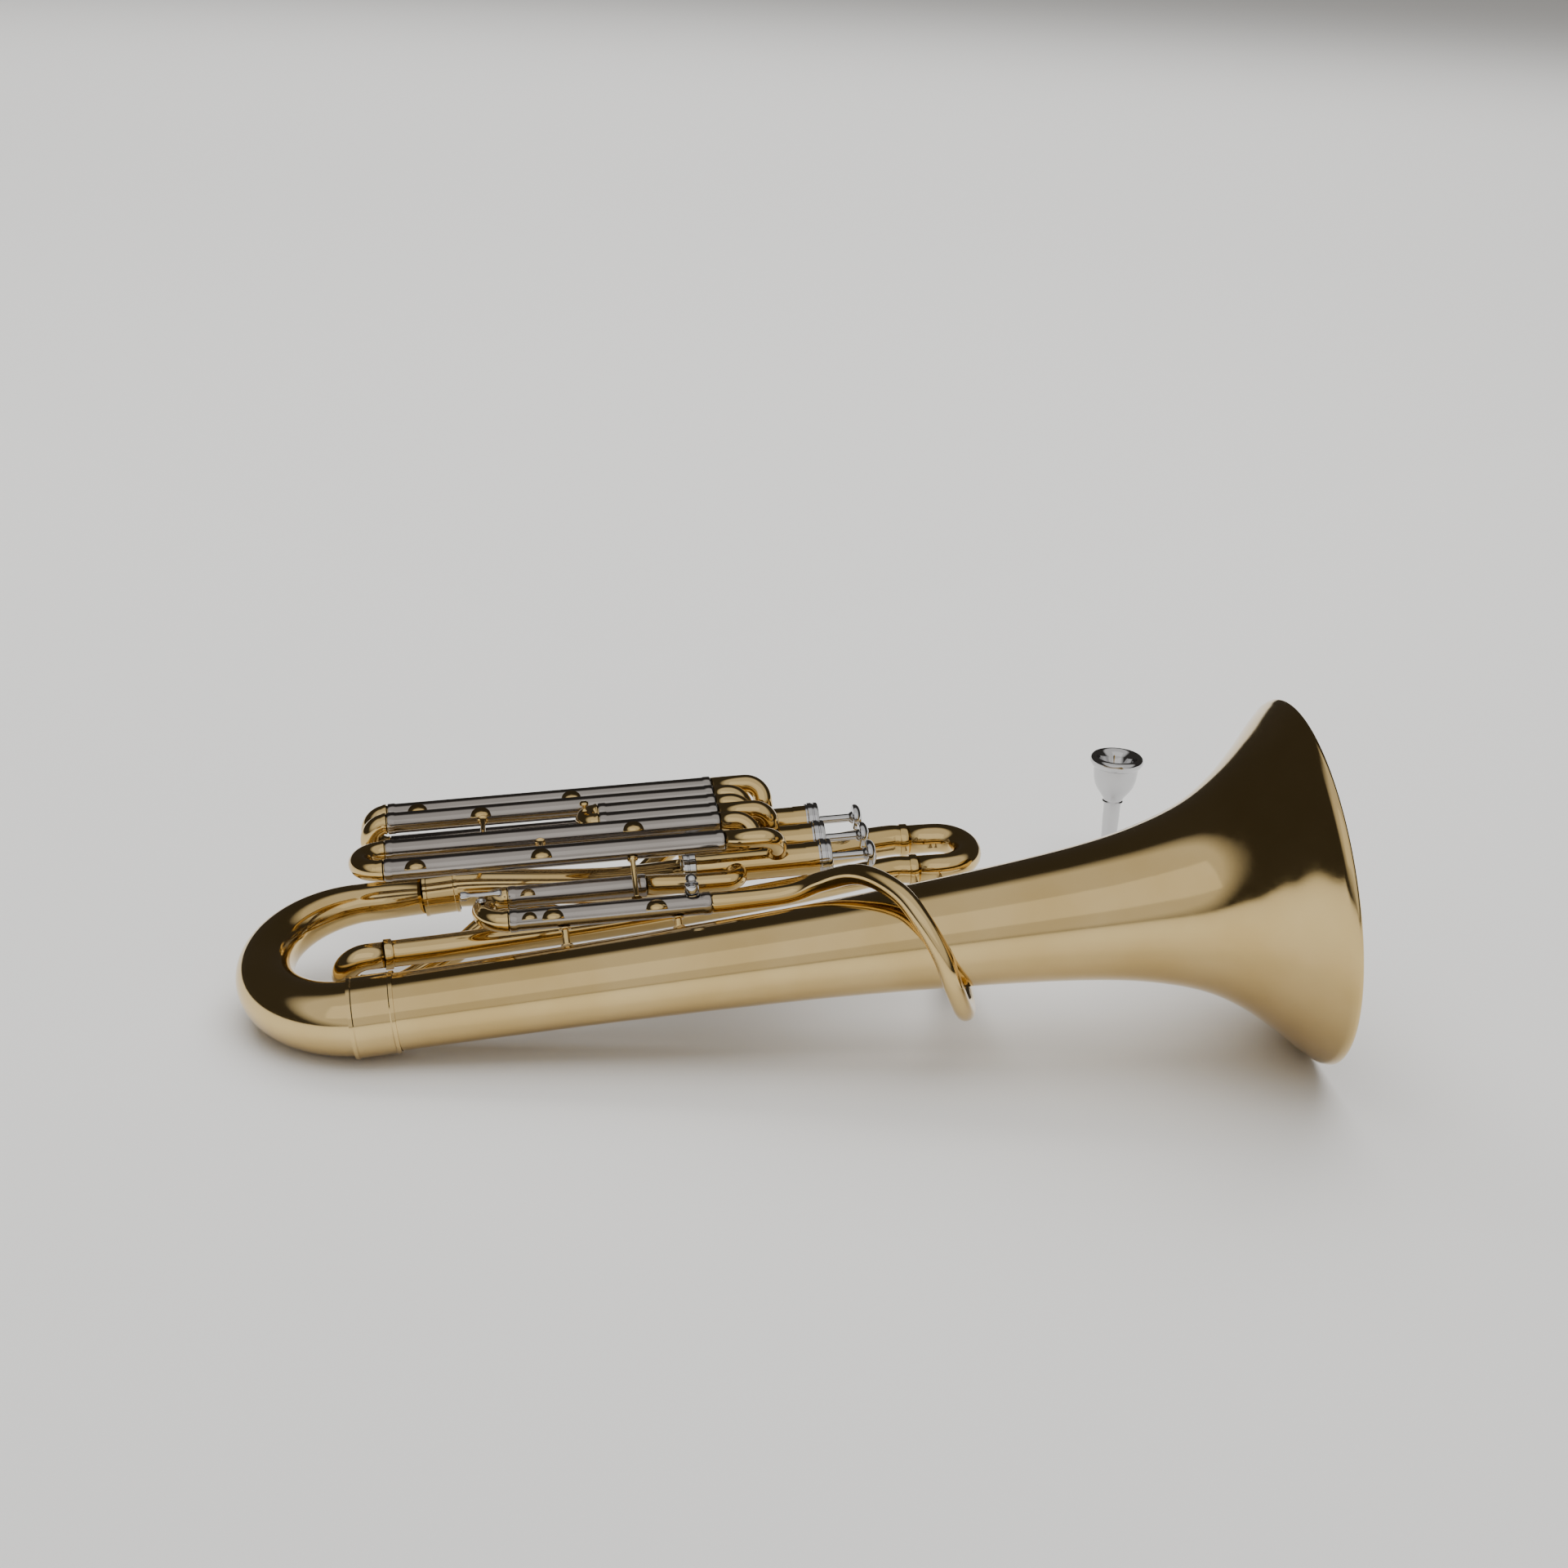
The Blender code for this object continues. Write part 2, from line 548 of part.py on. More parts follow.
def make_leadpipe(horn, block):
    bpy.context.view_layer.update()
    start = block.matrix_world @ ((TUNING_NEAR + Vector((TUNING_NEAR_RIGHT + GAP, 0, 0))) * MM) / MM
    ahead = (block.matrix_world.to_3x3() @ Vector((1, 0, 0))).normalized()
    away = (RECEIVER_END - RECEIVER_START).normalized()
    route = smooth_route((start, start + ahead * 14, (-308, 29, 96), (-288, 22, 107), (-268, 3, 119.5),
                          (-249, -18, 117), (-236, -33, 104), (-225, -42, 86), (-217, -43.5, 66),
                          (-208, -33, 46), (-201, -10, 35.5), (-197, 18, 32.5), RECEIVER_START - away * 8,
                          RECEIVER_START - away * GAP), 2)
    tube("leadpipe", route, spread((LEADPIPE_START_RADIUS, LEADPIPE_END_RADIUS), len(route)), TUBE_WALL,
         lacquered_brass(), horn)
    length = (RECEIVER_END - RECEIVER_START).length
    turned("mouthpiece_receiver",
           ((RECEIVER_RADIUS, length), (RECEIVER_RADIUS, length - 7), (RECEIVER_RADIUS - 1.2, length - 9),
            (LEADPIPE_END_RADIUS + 0.8, 0), (LEADPIPE_END_RADIUS - 1, 0), (RECEIVER_BORE, length)),
           nickel_silver(), horn, RECEIVER_START, away, ring=True, sides=16)


def make_mouthpiece(horn):
    """Standing on the end of its shank, cup up, as it is put down beside the horn."""
    top = MOUTHPIECE_HEIGHT
    rim = MOUTHPIECE_RIM
    throat = 1.9
    profile = ((rim - 2.6, top), (rim - 0.5, top - 0.9), (rim, top - 3), (rim - 0.5, top - 6), (rim - 2.6, top - 7.5),
               (rim - 3.6, top - 12), (rim - 5.2, top - 22), (rim - 9.2, top - 29), (7.0, top - 34),
               (6.4, top - 40), (SHANK_RADIUS + 1, top - 46), (SHANK_RADIUS, 0),
               (SHANK_RADIUS - 1, 0), (throat + 1, top - 46), (throat, top - 27), (4.6, top - 21),
               (9.4, top - 12), (12.2, top - 5), (rim - 6, top - 0.9))
    turned("mouthpiece", profile, nickel_silver(), horn, MOUTHPIECE_PLACE, (0, 0, 1), ring=True)


def box_of(names_start):
    """Corners of the box around every piece, or only those whose names start as given."""
    bpy.context.view_layer.update()
    graph = bpy.context.evaluated_depsgraph_get()
    low, high = Vector((1e9,) * 3), Vector((-1e9,) * 3)
    for obj in bpy.data.collections["baritone_horn"].objects:
        if obj.type == "EMPTY" or not obj.name.startswith(names_start):
            continue
        shape = obj.evaluated_get(graph)
        mesh = shape.to_mesh()
        for vertex in mesh.vertices:
            place = shape.matrix_world @ vertex.co
            low = Vector(map(min, low, place))
            high = Vector(map(max, high, place))
        shape.to_mesh_clear()
    return low, high


def settle_on_origin(root, horn):
    """Lays the horn down, then moves everything so that the origin is the centre of its box's underside."""
    horn.rotation_euler = (0, -LIE_PITCH, 0)
    low, high = box_of("bell")
    horn.location.z -= low.z
    low, high = box_of("")
    root.location -= Vector(((low.x + high.x) / 2, (low.y + high.y) / 2, low.z))
    bpy.context.view_layer.update()


def main():
    clear_scene()
    root = empty("floor", (0, 0, 0))
    horn = empty("horn", (0, 0, 0))
    horn.parent = root
    pitch = bell_pitch()
    bell_frame = empty("bell_axis", (0, 0, BELL_RADIUS * math.cos(pitch)), pitch)
    block = empty("valve_block", BLOCK_ORIGIN, BLOCK_PITCH)
    bell_frame.parent = block.parent = horn
    bpy.context.view_layer.update()

    make_bell(bell_frame)
    bow_end = make_bottom_bow(bell_frame)
    make_casings(block)
    make_pistons(block)
    make_elbows(block)
    make_slides(block)
    make_tuning_slide(block)
    make_braces(block, bell_frame)
    make_water_key(block)
    make_leadpipe(horn, block)

    bpy.context.view_layer.update()
    branch_start = bell_frame.matrix_world @ (bow_end * MM) / MM
    heading = (bell_frame.matrix_world.to_3x3() @ Vector((1, 0, 0))).normalized()
    last = valve_places()[-1] + Vector((INLET_PORT, CASING_RADIUS + 2 * GAP, 0))
    outlet = block.matrix_world @ (last * MM) / MM
    make_branches(horn, branch_start, heading, outlet)
    make_mouthpiece(root)
    settle_on_origin(root, horn)


main()
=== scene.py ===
"""Looks of the baritone horn: polished lacquered brass, nickel slide tubes and chromed valve parts."""
import math

import bmesh
import bpy
from mathutils import Matrix, Vector


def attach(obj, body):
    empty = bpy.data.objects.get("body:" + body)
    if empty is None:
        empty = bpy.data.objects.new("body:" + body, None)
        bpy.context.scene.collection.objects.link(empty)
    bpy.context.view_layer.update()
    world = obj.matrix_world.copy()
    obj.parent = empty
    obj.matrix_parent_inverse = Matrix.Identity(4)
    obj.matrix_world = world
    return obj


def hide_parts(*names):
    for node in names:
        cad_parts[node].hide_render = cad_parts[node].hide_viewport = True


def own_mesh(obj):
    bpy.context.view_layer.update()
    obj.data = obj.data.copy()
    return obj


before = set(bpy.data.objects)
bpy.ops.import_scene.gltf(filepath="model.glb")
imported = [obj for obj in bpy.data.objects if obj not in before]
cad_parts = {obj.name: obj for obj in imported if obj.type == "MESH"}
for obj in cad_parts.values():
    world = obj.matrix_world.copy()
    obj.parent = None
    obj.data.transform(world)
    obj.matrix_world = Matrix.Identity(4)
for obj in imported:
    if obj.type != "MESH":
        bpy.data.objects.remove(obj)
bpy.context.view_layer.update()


# The horn lies on its back with the bell to the right. Its own frame is tipped a little, so that the
# bell rim, the bell ferrule and the mouthpiece receiver meet the floor. Sizes below are millimetres.
MM = 0.001
floor_frame = Matrix.Translation((0.3110064, -0.0994204, 0))
horn_drop, horn_tip = 0.0006, math.radians(0.86)
horn_frame = floor_frame @ Matrix.Translation((0, 0, -horn_drop)) @ Matrix.Rotation(-horn_tip, 4, "Y")


def placed(base, place=(0, 0, 0), axis=(0, 0, 1)):
    """A frame in metres whose Z lies along axis, at a place given in the base's millimetres."""
    turn = Vector((0, 0, 1)).rotation_difference(Vector(axis).normalized())
    return base @ Matrix.Translation(Vector(place) * MM) @ turn.to_matrix().to_4x4()


# Camera: a little above the horn, in front of its middle and looking slightly to the right.
eye = Vector((-498.0, -1316.0, 697.0))
turn, dip, tilt = math.radians(7.85), math.radians(21.3), math.radians(2.2)
look = Vector((math.sin(turn) * math.cos(dip), math.cos(turn) * math.cos(dip), -math.sin(dip)))
level = Vector((math.cos(turn), -math.sin(turn), 0))
upright = level.cross(look)
right = math.cos(tilt) * level + math.sin(tilt) * upright
above = math.cos(tilt) * upright - math.sin(tilt) * level
camera = bpy.data.objects.new("camera", bpy.data.cameras.new("camera"))
bpy.context.scene.collection.objects.link(camera)
camera.data.lens = 56.25
camera.data.clip_end = 200
stand = Matrix((right, above, -look)).transposed().to_4x4()
stand.translation = eye * MM
camera.matrix_world = horn_frame @ stand
bpy.context.scene.camera = camera


# Floor: matt pale paint, large enough to fill the view.
floor_mesh = bpy.data.meshes.new("floor")
bm = bmesh.new()
bmesh.ops.create_grid(bm, x_segments=1, y_segments=1, size=60)
bm.to_mesh(floor_mesh)
bm.free()
floor = bpy.data.objects.new("floor", floor_mesh)
floor.location.z = -0.0005
bpy.context.scene.collection.objects.link(floor)
floor_paint = bpy.data.materials.new("pale_floor")
floor_paint.use_nodes = True
floor_shader = floor_paint.node_tree.nodes["Principled BSDF"]
floor_shader.inputs["Base Color"].default_value = (0.74, 0.735, 0.72, 1)
floor_shader.inputs["Roughness"].default_value = 0.75
floor_shader.inputs["Specular IOR Level"].default_value = 0.2
floor_mesh.materials.append(floor_paint)


# Studio: a dark room behind the horn, pale towards the camera, and soft boxes that draw the long
# highlights on the tubes.
world = bpy.data.worlds.new("studio")
bpy.context.scene.world = world
world.use_nodes = True
sky = world.node_tree
back = sky.nodes["Background"]
direction = sky.nodes.new("ShaderNodeTexCoord")
ramp = sky.nodes.new("ShaderNodeValToRGB")
towards = sky.nodes.new("ShaderNodeVectorMath")
towards.operation = "DOT_PRODUCT"
towards.inputs[1].default_value = (0.0, -0.6, 0.8)
sky.links.new(direction.outputs["Generated"], towards.inputs[0])
sky.links.new(towards.outputs["Value"], ramp.inputs[0])
ramp.color_ramp.elements[0].position = 0.46
ramp.color_ramp.elements[0].color = (0.06, 0.055, 0.05, 1)
ramp.color_ramp.elements[1].position = 0.66
ramp.color_ramp.elements[1].color = (0.95, 0.93, 0.9, 1)
sky.links.new(ramp.outputs[0], back.inputs["Color"])
back.inputs["Strength"].default_value = 0.75


def soft_box(name, place, target, width, height, power, mirrored=True):
    lamp = bpy.data.objects.new(name, bpy.data.lights.new(name, "AREA"))
    lamp.data.shape = "RECTANGLE"
    lamp.data.size = width
    lamp.data.size_y = height
    lamp.data.energy = power
    lamp.visible_glossy = mirrored
    lamp.location = place
    lamp.rotation_euler = (Vector(target) - Vector(place)).to_track_quat("-Z", "Y").to_euler()
    bpy.context.scene.collection.objects.link(lamp)


soft_box("front_box", (-0.5, -2.2, 2.0), (0, 0, 0.1), 3.4, 2.0, 5)
soft_box("top_box", (0, 0.4, 3.0), (0, 0.2, 0), 4.0, 4.0, 110, mirrored=False)
soft_box("back_box", (0.6, 5.5, 4.5), (0.4, 4.0, 0), 9.0, 5.0, 420, mirrored=False)


# Finishes. Lacquered brass is buffed, so it is nearly a mirror with faint cloudy lines under a clear
# coat. Nickel silver is a little greyer and drier, and the caps and mouthpiece are bright plate.
def metal(name, colour, deep, roughness, spread_of_roughness, grain, coat=0.0):
    made = bpy.data.materials.new(name)
    made.use_nodes = True
    tree = made.node_tree
    shader = tree.nodes["Principled BSDF"]
    shader.inputs["Metallic"].default_value = 1.0
    shader.inputs["Coat Weight"].default_value = coat
    shader.inputs["Coat Roughness"].default_value = 0.04
    place = tree.nodes.new("ShaderNodeTexCoord")
    cloud = tree.nodes.new("ShaderNodeTexNoise")
    cloud.inputs["Scale"].default_value = 16
    cloud.inputs["Detail"].default_value = 4
    tree.links.new(place.outputs["Object"], cloud.inputs["Vector"])
    shades = tree.nodes.new("ShaderNodeValToRGB")
    shades.color_ramp.elements[0].position = 0.35
    shades.color_ramp.elements[0].color = (*deep, 1)
    shades.color_ramp.elements[1].position = 0.62
    shades.color_ramp.elements[1].color = (*colour, 1)
    tree.links.new(cloud.outputs["Fac"], shades.inputs[0])
    tree.links.new(shades.outputs[0], shader.inputs["Base Color"])
    buffing = tree.nodes.new("ShaderNodeTexNoise")
    buffing.inputs["Scale"].default_value = grain
    buffing.inputs["Detail"].default_value = 6
    stretch = tree.nodes.new("ShaderNodeMapping")
    stretch.inputs["Scale"].default_value = (0.12, 1, 1)
    tree.links.new(place.outputs["Object"], stretch.inputs["Vector"])
    tree.links.new(stretch.outputs[0], buffing.inputs["Vector"])
    dullness = tree.nodes.new("ShaderNodeMapRange")
    dullness.inputs["To Min"].default_value = roughness
    dullness.inputs["To Max"].default_value = roughness + spread_of_roughness
    tree.links.new(buffing.outputs["Fac"], dullness.inputs["Value"])
    tree.links.new(dullness.outputs["Result"], shader.inputs["Roughness"])
    bump = tree.nodes.new("ShaderNodeBump")
    bump.inputs["Strength"].default_value = 0.035
    bump.inputs["Distance"].default_value = 0.0004
    tree.links.new(buffing.outputs["Fac"], bump.inputs["Height"])
    tree.links.new(bump.outputs[0], shader.inputs["Normal"])
    return made


brass = metal("buffed_brass", (0.73, 0.54, 0.245), (0.67, 0.48, 0.195), 0.05, 0.09, 240, 0.35)
nickel = metal("drawn_nickel", (0.42, 0.39, 0.365), (0.37, 0.34, 0.315), 0.10, 0.10, 420)
plate = metal("bright_plate", (0.62, 0.62, 0.63), (0.57, 0.57, 0.58), 0.03, 0.06, 300)
steel = metal("spring_wire", (0.5, 0.5, 0.51), (0.42, 0.42, 0.43), 0.25, 0.1, 500)


def keep(bm, name, look, body="horn", wall=0.0, trim=False):
    """Makes the mesh an object that rides on a body. Unless it is trim, it stands for its node."""
    mesh = bpy.data.meshes.new(name)
    bm.to_mesh(mesh)
    bm.free()
    mesh.materials.append(look)
    mesh.shade_smooth()
    mesh.set_sharp_from_angle(angle=math.radians(38))
    obj = bpy.data.objects.new(name, mesh)
    bpy.context.scene.collection.objects.link(obj)
    if wall:
        shell = obj.modifiers.new("wall", "SOLIDIFY")
        shell.thickness = wall * MM
        shell.offset = -1
    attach(obj, body)
    if not trim:
        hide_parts(name)
    return obj


def spun(profile, where, sides=96, ring=True):
    """Turned shape from (radius, height) points, in a frame whose Z is its axis."""
    bm = bmesh.new()
    verts = [bm.verts.new((radius * MM, 0, height * MM)) for radius, height in profile]
    edges = [bm.edges.new(pair) for pair in zip(verts, verts[1:])]
    if ring:
        edges.append(bm.edges.new((verts[-1], verts[0])))
    bmesh.ops.spin(bm, geom=verts + edges, angle=2 * math.pi, steps=sides, axis=(0, 0, 1), cent=(0, 0, 0),
                   use_merge=True)
    bmesh.ops.remove_doubles(bm, verts=bm.verts, dist=1e-6)
    bmesh.ops.recalc_face_normals(bm, faces=bm.faces)
    bmesh.ops.transform(bm, matrix=where, verts=bm.verts)
    return bm


# Bell: sheet brass spun over a mandrel and soldered along its length, rolled over a wire at the rim.
# Its wide end is the horn's mouth, and its narrow end goes into a plain ferrule.
bell_radius, bell_length, tail_radius, bell_wall, bead, gap = 112.0, 560.0, 23.0, 0.8, 2.0, 0.3
rest_span = 660.0    # along the bell's axis, between the rim and where its underside meets the floor
slope = math.asin((bell_radius - tail_radius) / rest_span)
bell_frame = (horn_frame @ Matrix.Translation((0, 0, bell_radius * math.cos(slope) * MM))
              @ Matrix.Rotation(-slope, 4, "Y"))
bell_shares = ((1.0, 0.0), (0.77, 0.018), (0.557, 0.056), (0.428, 0.1), (0.322, 0.148), (0.232, 0.208),
               (0.17, 0.281), (0.116, 0.393), (0.075, 0.551), (0.043, 0.73), (0.018, 0.893), (0.0, 1.0))


def smooth_route(points, steps=8):
    """Catmull-Rom curve through the points."""
    pts = [Vector(p) for p in points]
    pts = [2 * pts[0] - pts[1]] + pts + [2 * pts[-1] - pts[-2]]
    route = []
    for a, b, c, d in zip(pts, pts[1:], pts[2:], pts[3:]):
        for step in range(steps):
            t = step / steps
            route.append(0.5 * ((2 * b) + (c - a) * t + (2 * a - 5 * b + 4 * c - d) * t ** 2
                                + (3 * b - a - 3 * c + d) * t ** 3))
    return route + [pts[-2]]


flare = bell_radius - tail_radius
outline = [(p.y, -p.x) for p in smooth_route([(share * bell_length, tail_radius + flare * wide, 0)
                                              for share, wide in bell_shares], 7)]
bead_arc = [(bell_radius - bead + bead * math.sin(a), bead * (1 - math.cos(a)))
            for a in (math.pi * (0.3 + 1.25 * i / 14) for i in range(15))]
inner = [(radius - bell_wall, height) for radius, height in outline[:-1]]
keep(spun(list(reversed(outline[:-1])) + inner + list(reversed(bead_arc)),
          placed(bell_frame, axis=(1, 0, 0)), 160), "bell", brass)

ferrule_inner, ferrule_outer, half = 23.5, 24.7, 13.5
ferrule = [(ferrule_outer, half), (ferrule_outer, half - 2.2), (ferrule_outer - 0.5, half - 2.8),
           (ferrule_outer - 0.5, 2.8 - half), (ferrule_outer, 2.2 - half), (ferrule_outer, -half),
           (ferrule_inner, -half), (ferrule_inner, half)]
keep(spun(ferrule, placed(bell_frame, (-bell_length - gap / 2, 0, 0), (1, 0, 0)), 96), "bell_ferrule", brass)


# Bottom bow: a tapered tube bent over pitch into a U, soldered into the bell ferrule and into the
# ferrule of the third branch.
def arc(start, heading, turn_to, radius, angle=math.pi / 2, steps=16):
    centre = start + turn_to * radius
    return [centre - turn_to * radius * math.cos(angle * i / steps)
            + heading * radius * math.sin(angle * i / steps) for i in range(steps + 1)]


def between(values, count):
    last = len(values) - 1
    result = []
    for i in range(count):
        place = last * i / (count - 1)
        low = min(int(place), last - 1)
        result.append(values[low] + (values[low + 1] - values[low]) * (place - low))
    return result


def swept(route, radii, where, sides=36):
    """Open tube: a circle extruded from point to point, turned and sized as it goes."""
    route = [Vector(p) * MM for p in route]
    if not isinstance(radii, (list, tuple)):
        radii = [radii] * len(route)
    aims = [(b - a).normalized() for a, b in zip(route, route[1:])]
    aims = [aims[0]] + [(a + b).normalized() for a, b in zip(aims, aims[1:])] + [aims[-1]]
    bm = bmesh.new()
    bmesh.ops.create_circle(bm, segments=sides, radius=radii[0] * MM)
    facing = Vector((0, 0, 1)).rotation_difference(aims[0]).to_matrix()
    bmesh.ops.rotate(bm, verts=bm.verts, cent=(0, 0, 0), matrix=facing)
    bmesh.ops.translate(bm, verts=bm.verts, vec=route[0])
    edges = list(bm.edges)
    for i in range(1, len(route)):
        made = bmesh.ops.extrude_edge_only(bm, edges=edges)["geom"]
        ring = [g for g in made if isinstance(g, bmesh.types.BMVert)]
        edges = [g for g in made if isinstance(g, bmesh.types.BMEdge)]
        edges = [e for e in edges if all(v in set(ring) for v in e.verts)]
        bmesh.ops.translate(bm, verts=ring, vec=route[i] - route[i - 1])
        bmesh.ops.rotate(bm, verts=ring, cent=route[i],
                         matrix=aims[i - 1].rotation_difference(aims[i]).to_matrix())
        size = radii[i] / radii[i - 1]
        if abs(size - 1) > 1e-9:
            bmesh.ops.scale(bm, verts=ring, vec=(size, size, size), space=Matrix.Translation(-route[i]))
    bm.faces.ensure_lookup_table()
    bm.normal_update()
    face = bm.faces[0]
    if face.normal.dot(face.calc_center_median() - (route[0] + route[1]) / 2) < 0:
        bmesh.ops.reverse_faces(bm, faces=bm.faces)
    bmesh.ops.transform(bm, matrix=where, verts=bm.verts)
    return bm


roll = math.radians(11)
bow_span, bow_end_radius = 117.0, 12.3
bow_start = Vector((-bell_length - gap, 0, 0))
across = Vector((0, math.cos(roll), math.sin(roll)))
left = Vector((-1, 0, 0))
bow_lead, bow_straight = 8.0, 50.0
curve = arc(bow_start + left * bow_lead, left, across, bow_span / 2, math.pi, 48)
bow_end = curve[-1] - left * bow_straight
bow_radii = [tail_radius] + between((tail_radius, bow_end_radius), len(curve)) + [bow_end_radius]
keep(swept([bow_start] + curve + [bow_end], bow_radii, bell_frame, 64), "bottom_bow", brass, wall=bell_wall)
inner_radius = bow_end_radius + gap + 0.35
half = 10.8
band = [(inner_radius + 1.2, half), (inner_radius + 1.2, half - 2), (inner_radius + 0.7, half - 2.5),
        (inner_radius + 0.7, 2.5 - half), (inner_radius + 1.2, 2 - half), (inner_radius + 1.2, -half),
        (inner_radius, -half), (inner_radius, half)]
keep(spun(band, placed(bell_frame, bow_end + Vector((gap / 2, 0, 0)), (1, 0, 0)), 72), "bow_ferrule", brass)


# Valve block: three casings side by side, screwed shut by plated caps at both ends. Its frame has the
# first valve's axis along X, and every slide tube runs parallel to it.
block_frame = horn_frame @ Matrix.Translation(Vector((-303.7, 80.0, 96.0)) * MM) @ Matrix.Rotation(
    math.radians(-4.56), 4, "Y")
tube_pitch, slide_plane, upper_port, stroke = 15.0, 23.7, -5.0, 13.0
lower_port, inlet_port = upper_port - stroke, upper_port - 2 * stroke
casing_radius, casing_wall, casing_top, casing_bottom = 10.5, 1.2, 28.0, -62.0
cap_radius, cap_height, stem_radius = 12.0, 7.0, 2.6
legs = (((-tube_pitch, upper_port), (tube_pitch, lower_port)),
        ((2 * tube_pitch, upper_port), (3 * tube_pitch, lower_port)),
        ((4 * tube_pitch, lower_port), (5 * tube_pitch, upper_port)))
valves = [Vector((0, i * 2 * tube_pitch, 0)) for i in range(3)]
cap_inner = casing_radius + gap
roof, base = casing_top + gap, casing_bottom - gap
for number, valve in enumerate(valves, 1):
    casing_place = placed(block_frame, valve, (1, 0, 0))
    inside = casing_radius - casing_wall
    casing = [(casing_radius, casing_top), (casing_radius, casing_top - 14),
              (casing_radius - 0.35, casing_top - 14.8), (casing_radius - 0.35, casing_bottom + 10),
              (casing_radius, casing_bottom + 9), (casing_radius, casing_bottom), (inside, casing_bottom),
              (inside, casing_top)]
    keep(spun(casing, casing_place, 64), f"valve_casing_{number}", brass)
    top_cap = [(stem_radius + 0.6, roof + 1.6), (5.4, roof + 1.6), (6.0, roof + 1.2), (8.8, roof + 1.2),
               (cap_radius - 1.4, roof + 1.5), (cap_radius - 0.4, roof + 1.1), (cap_radius, roof + 0.4),
               (cap_radius, roof - 1.4), (cap_radius - 0.5, roof - 1.8), (cap_radius - 0.5, roof - 2.4),
               (cap_radius, roof - 2.8), (cap_radius, roof - 5.4), (cap_radius - 0.6, roof - 5.9),
               (cap_radius - 0.6, roof - cap_height), (cap_inner, roof - cap_height), (cap_inner, roof),
               (stem_radius + 0.6, roof)]
    keep(spun(top_cap, casing_place, 72), f"top_cap_{number}", plate)
    bottom_cap = [(cap_inner, base), (cap_inner, base + cap_height), (cap_radius - 0.5, base + cap_height),
                  (cap_radius, base + cap_height - 0.6), (cap_radius, base + 3.0),
                  (cap_radius - 0.5, base + 2.5), (cap_radius - 0.5, base + 1.9), (cap_radius, base + 1.4),
                  (cap_radius, base - 0.7), (cap_radius - 0.8, base - 1.4), (5.0, base - 1.6),
                  (1.5, base - 1.6), (1.5, base)]
    keep(spun(bottom_cap, casing_place, 72), f"bottom_cap_{number}", plate)


# Pistons, stems and finger buttons: each button is a domed cap screwed on the stem, and the spring
# under the piston pushes the three of them back up. The piston keeps its drilled CAD body, and the
# spring is a fixed coil between the bottom cap and the piston.
button_radius, button_low, piston_top, piston_bottom = 8.4, 52.0, 16.0, -38.0
turns, coil_steps, coil_radius, wire = 7, 140, 6.5, 0.55
low, high = casing_bottom + wire, piston_bottom - gap - wire
for number, valve in enumerate(valves, 1):
    dome = [(0, button_low + 6.4)] + [(button_radius * math.sin(a), button_low + 2.2 + 4.2 * math.cos(a))
                                      for a in (math.pi / 2 * i / 12 for i in range(1, 13))]
    button = dome + [(button_radius, button_low + 1.4), (button_radius - 0.3, button_low + 0.6),
                     (button_radius - 1.3, button_low), (4.0, button_low), (3.4, button_low - 1.4),
                     (stem_radius, button_low - 2.2), (stem_radius, piston_top + gap),
                     (0, piston_top + gap)]
    keep(spun(button, placed(block_frame, valve, (1, 0, 0)), 64, ring=False), f"finger_button_{number}",
         plate, f"valve_{number}")
    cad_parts[f"piston_{number}"].data.materials[0] = nickel
    coil = []
    for i in range(coil_steps + 1):
        angle = 2 * math.pi * i * turns / coil_steps
        coil.append(valve + Vector((low + (high - low) * i / coil_steps, coil_radius * math.cos(angle),
                                    coil_radius * math.sin(angle))))
    spring = swept(coil, wire, block_frame, 10)
    bmesh.ops.holes_fill(spring, edges=[e for e in spring.edges if e.is_boundary], sides=0)
    spring_piece = keep(spring, f"valve_spring_{number}", steel)
    height = high - low + 2 * wire
    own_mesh(spring_piece)


# Elbows and knuckles: drawn brass tubes silver-soldered into the casings, with a plain collar where
# each takes its slide tube.
elbow_radius, tube_wall, elbow_bend, sleeve_right = 6.2, 0.6, 11.0, -38.0
along = Vector((1, 0, 0))
for number, valve in enumerate(valves, 1):
    for side, (sideways, port) in zip("ab", legs[number - 1]):
        leg = Vector((0, sideways, slide_plane))
        down = (valve - leg).normalized()
        start = leg + along * (sleeve_right + gap)
        curve = arc(leg + along * (port - elbow_bend), along, down, elbow_bend)
        end = curve[-1] + down * ((leg - valve).length - elbow_bend - casing_radius - 2 * gap)
        keep(swept([start] + curve + [end], elbow_radius, block_frame), f"valve_{number}_elbow_{side}",
             brass, wall=tube_wall)
for number in (1, 2):
    low = valves[number - 1].y + casing_radius + gap
    high = valves[number].y - casing_radius - gap
    keep(swept([(inlet_port, low, 0), (inlet_port, high, 0)], elbow_radius, block_frame),
         f"valve_knuckle_{number}", brass, wall=tube_wall)


# Slide tubes: hard nickel silver outers, with a raised band at each end where the inner leg goes in.
sleeve_radius, sleeve_wall = 7.0, 0.45
sleeve_left, short_left = -245.0, -112.0


def sleeve(name, left_end, right_end, sideways, height):
    stations = [(left_end, 0.0), (left_end + 0.6, 0.35), (left_end + 4.4, 0.35), (left_end + 5.0, 0.0),
                (right_end - 5.0, 0.0), (right_end - 4.4, 0.35), (right_end - 0.6, 0.35), (right_end, 0.0)]
    shape = [(sleeve_radius - 0.35 + rise, x) for x, rise in reversed(stations)]
    inside_radius = sleeve_radius - sleeve_wall - 0.2
    shape += [(inside_radius, left_end), (inside_radius, right_end)]
    where = placed(block_frame, (0, sideways, height), (1, 0, 0))
    keep(spun(shape, where, 48), name, nickel)


